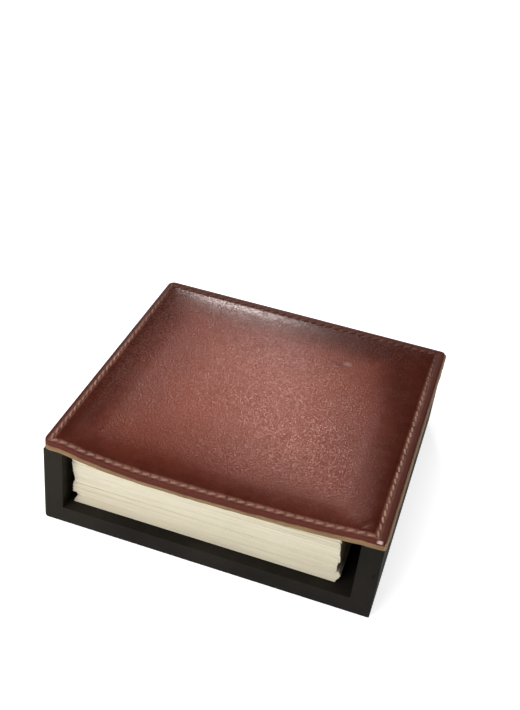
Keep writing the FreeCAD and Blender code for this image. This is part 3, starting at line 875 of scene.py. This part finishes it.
def make_stitches():
    """Lockstitch round the lid, each stitch a copy of one that is modelled once."""
    master = stitch_shape()
    shaky = random.Random(STITCH_SEED)
    copies = []
    for start, end in seam_runs():
        run = end - start
        count = round(run.length / STITCH_PITCH)
        heading = math.atan2(run.y, run.x)
        for number in range(count):
            middle = start + run * ((number + 0.5) / count)
            x = middle.x + shaky.uniform(-STITCH_JITTER, STITCH_JITTER)
            y = middle.y + shaky.uniform(-STITCH_JITTER, STITCH_JITTER)
            slope_x = (hang(x - MM, y) - hang(x + MM, y)) / (2 * MM)
            slope_y = (hang(x, y - MM) - hang(x, y + MM)) / (2 * MM)
            tilt = slope_x * math.cos(heading) + slope_y * math.sin(heading)
            slant = STITCH_SLANT + shaky.uniform(-SLANT_SPREAD, SLANT_SPREAD)
            turn = heading + math.radians(slant)
            height = rim_top - hang(x, y) - GROOVE_DEPTH + THREAD * THREAD_PROUD
            copy = bpy.data.objects.new("stitch", master.data.copy())
            bpy.context.scene.collection.objects.link(copy)
            place = Matrix.Translation((x, y, height)) @ Matrix.Rotation(turn, 4, "Z")
            copy.data.transform(place @ Matrix.Rotation(-math.atan(tilt), 4, "Y"))
            copies.append(copy)
    select_only(*copies)
    bpy.ops.object.join()
    piece = settle(bpy.context.object, "lid_stitches")
    bpy.data.objects.remove(master)
    smooth(piece, 80)
    return dress(piece, thread_material, "sewing_thread", "lid", "lid_thread")


# ---------------------------------------------------------------- sheets of paper


def make_bundle(number):
    """One bundle of loose sheets: every sheet its own slab, shifted and turned a little."""
    node = f"memo_sheets_{number}"
    low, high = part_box(node)
    middle = (low + high) / 2
    half = SHEET_SIDE / 2
    chance = random.Random(SHEET_SEED + number)
    count = round((high.z - low.z) / PAPER)
    bpy.ops.object.select_all(action="DESELECT")
    bpy.ops.mesh.primitive_grid_add(x_subdivisions=SHEET_CELLS, y_subdivisions=SHEET_CELLS, size=1)
    master = bpy.context.object
    bpy.ops.object.mode_set(mode="EDIT")
    bpy.ops.mesh.select_all(action="SELECT")
    bpy.ops.mesh.extrude_region_move(TRANSFORM_OT_translate={"value": (0, 0, 1)})
    bpy.ops.mesh.select_all(action="SELECT")
    bpy.ops.mesh.normals_make_consistent(inside=False)
    bpy.ops.object.mode_set(mode="OBJECT")
    size = Matrix.Diagonal((SHEET_SIDE, SHEET_SIDE, PAPER * PAPER_SOLID, 1))
    copies = []
    drift_x = 0.0
    drift_y = 0.0
    lift = sum(SHEET_LIFTS[:number]) * MM
    for level in range(count):
        share = level / max(count - 1, 1) - 0.5
        drift_x = DRIFT_KEPT * drift_x + chance.uniform(-DRIFT_X, DRIFT_X)
        drift_y = DRIFT_KEPT * drift_y + chance.uniform(-DRIFT_Y, DRIFT_Y)
        slant = SHEET_SLANTS[number - 1] * share * MM
        x = middle.x + slant + drift_x + chance.uniform(-SHIFT_X, SHIFT_X)
        y = middle.y + drift_y + chance.uniform(-SHIFT_Y, SHIFT_Y)
        turn = Matrix.Rotation(math.radians(chance.uniform(-SHEET_TURN, SHEET_TURN)), 4, "Z")
        copy = bpy.data.objects.new("sheet", master.data.copy())
        bpy.context.scene.collection.objects.link(copy)
        copy.data.transform(Matrix.Translation((x, y, low.z + level * PAPER)) @ turn @ size)
        copies.append(copy)
    select_only(*copies)
    bpy.ops.object.join()
    piece = settle(bpy.context.object, f"sheets_bundle_{number}")
    bpy.data.objects.remove(master)
    for point in piece.data.vertices:
        u = (point.co.x - middle.x) / half
        v = (point.co.y - middle.y) / half
        front_corners = 0.5 * u * u * max(-v, 0)
        right_side = 0.5 * max(u, 0) ** 2
        front_side = 0.4 * max(-v, 0) ** 3
        point.co.z += lift * (front_corners + right_side + front_side)
    return dress(piece, paper_material, "memo_paper", "sheets", node)


# ---------------------------------------------------------------- hinge, felt and tray


def make_hinge():
    """One leather strip under the lid's back seam and down the back wall, bent at the edge."""
    bpy.ops.object.select_all(action="DESELECT")
    cells_x, cells_y = HINGE_CELLS
    bpy.ops.mesh.primitive_grid_add(x_subdivisions=cells_x, y_subdivisions=cells_y, size=1)
    piece = settle(bpy.context.object, "hinge_leather")
    half = strip_high.x
    leaf = strip_high.y - leaf_low.y
    drop = strip_high.z - strip_low.z
    thickness = strip_high.y - strip_low.y
    bend = thickness
    middle_y = strip_high.y - thickness / 2
    middle_z = strip_high.z - thickness / 2
    arc = bend / 2 * math.pi / 2
    length = (leaf - bend) + arc + (drop - bend)
    for point in piece.data.vertices:
        x = point.co.x * 2 * half
        along = (point.co.y + 0.5) * length
        if along < leaf - bend:
            y, z = leaf_low.y + along, middle_z
        elif along < leaf - bend + arc:
            angle = (along - leaf + bend) / (bend / 2)
            y = strip_high.y - bend + bend / 2 * math.sin(angle)
            z = strip_high.z - bend + bend / 2 * math.cos(angle)
        else:
            y, z = middle_y, strip_high.z - bend - (along - leaf + bend - arc)
        point.co = (x, y, z)
    thicken = piece.modifiers.new("thickness", "SOLIDIFY")
    thicken.thickness = thickness * HINGE_FILL
    thicken.offset = 0
    apply_modifiers(piece)
    smooth(piece, 40)
    dress(piece, hinge_leather_material, "hinge_leather", None, "hinge_strip", "hinge_leaf")
    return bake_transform(piece)


def make_felt():
    """Felt under the tray, with rounded corners."""
    low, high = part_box("base_felt")
    bpy.ops.object.select_all(action="DESELECT")
    bpy.ops.mesh.primitive_cube_add(size=1, location=(low + high) / 2)
    piece = bpy.context.object
    piece.scale = high - low
    settle(piece, "base_felt_pad")
    bpy.ops.object.mode_set(mode="EDIT")
    pick_edges(piece, lambda start, end: (start - end).xy.length < TINY)
    bpy.ops.mesh.bevel(offset=FELT_CORNER, segments=5, affect="EDGES")
    bpy.ops.object.mode_set(mode="OBJECT")
    smooth(piece, 30)
    return dress(piece, felt_material, "felt", "tray", "base_felt")


def finish_node(name, finish):
    """Gives a CAD node that stays its material."""
    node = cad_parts[name]
    node.data.materials.clear()
    node.data.materials.append(finish)


make_lining()
make_board()
make_padding()
make_leather()
make_stitches()
for bundle in range(1, BUNDLES + 1):
    make_bundle(bundle)
make_hinge()
make_felt()
for tray_board in ("base_board", "left_wall", "right_wall", "back_wall"):
    finish_node(tray_board, lacquer_material)
finish_node("corner_dowels", dowel_material)
finish_node("base_nails", steel_material)
finish_node("hinge_tacks", brass_material)

# ---------------------------------------------------------------- floor, light and camera


def make_floor():
    """Pale floor that the camera and polished things see white, with a soft shadow on it; polished
    things see it dimmer close to the box, a painted shadow in its reflection.
    """
    bpy.ops.object.select_all(action="DESELECT")
    bpy.ops.mesh.primitive_plane_add(size=FLOOR_SIDE)
    floor = bpy.context.object
    floor.name = "studio_floor"
    made = Finish("studio_floor", Roughness=0.9, Specular_IOR_Level=0.1, Emission_Strength=1.0)
    made.shader.inputs["Base Color"].default_value = FLOOR_TONE
    from_box = made.node("ShaderNodeVectorMath", {"operation": "LENGTH"}, {0: made.place()})
    away = made.contrast(from_box["Value"], 0.12, 0.5)
    path = made.node("ShaderNodeLightPath", {}, {})
    # Painted shadow in reflections: polished things see the floor's glow dimmer close to the box.
    mirrored = path["Is Glossy Ray"] * (0.35 + away * 0.65)
    seen = path["Is Camera Ray"].higher(path["Is Transmission Ray"]).higher(mirrored)
    glow = made.mix(away, (0.8, 0.8, 0.8), (1.0, 1.0, 1.0))
    made.drive("Emission Color", made.mix(seen, (0.0, 0.0, 0.0), glow))
    floor.data.materials.append(made.material)


def add_light(name, place, target, size, power):
    """Soft rectangular lamp that faces a point."""
    lamp = bpy.data.lights.new(name, "AREA")
    lamp.shape = "RECTANGLE"
    lamp.size, lamp.size_y = size
    lamp.energy = power
    holder = bpy.data.objects.new(name, lamp)
    bpy.context.scene.collection.objects.link(holder)
    holder.location = place
    holder.rotation_euler = (Vector(target) - Vector(place)).to_track_quat("-Z", "Y").to_euler()


class Sky(Finish):
    """The world's shader, whose nodes are made as a material's are."""

    def __init__(self, world):
        self.tree = world.node_tree
        self.shader = self.tree.nodes["Background"]


def make_world(strength):
    """Faint even light from all round, with a white studio wall behind, low down, to be seen."""
    world = bpy.data.worlds.new("studio_world")
    bpy.context.scene.world = world
    world.use_nodes = True
    sky = Sky(world)
    direction = sky.node("ShaderNodeTexCoord", {}, {})["Generated"]
    height = sky.node("ShaderNodeSeparateXYZ", {}, {"Vector": direction})["Z"]
    path = sky.node("ShaderNodeLightPath", {}, {})
    wall = 1 - sky.contrast(height, 0.06, 0.16)
    mirrored = path["Is Glossy Ray"] * wall
    seen = path["Is Camera Ray"].higher(path["Is Transmission Ray"]).higher(mirrored)
    sky.drive("Color", sky.mix(seen, (strength, strength, strength), (1.0, 1.0, 1.0)))


def make_camera():
    """Camera a little to the right of the middle, above the open front, tilted to its left."""
    lens = bpy.data.cameras.new("camera")
    lens.sensor_fit = "VERTICAL"
    lens.sensor_height = CAMERA_SENSOR
    lens.lens = CAMERA_LENS
    camera = bpy.data.objects.new("camera", lens)
    bpy.context.scene.collection.objects.link(camera)
    camera.location = CAMERA_PLACE
    camera.rotation_euler = [math.radians(angle) for angle in CAMERA_TURN]
    bpy.context.scene.camera = camera


make_floor()
make_world(WORLD_LIGHT)
for lamp in LAMPS:
    add_light(*lamp)
make_camera()
bpy.context.scene.view_settings.view_transform = "Standard"
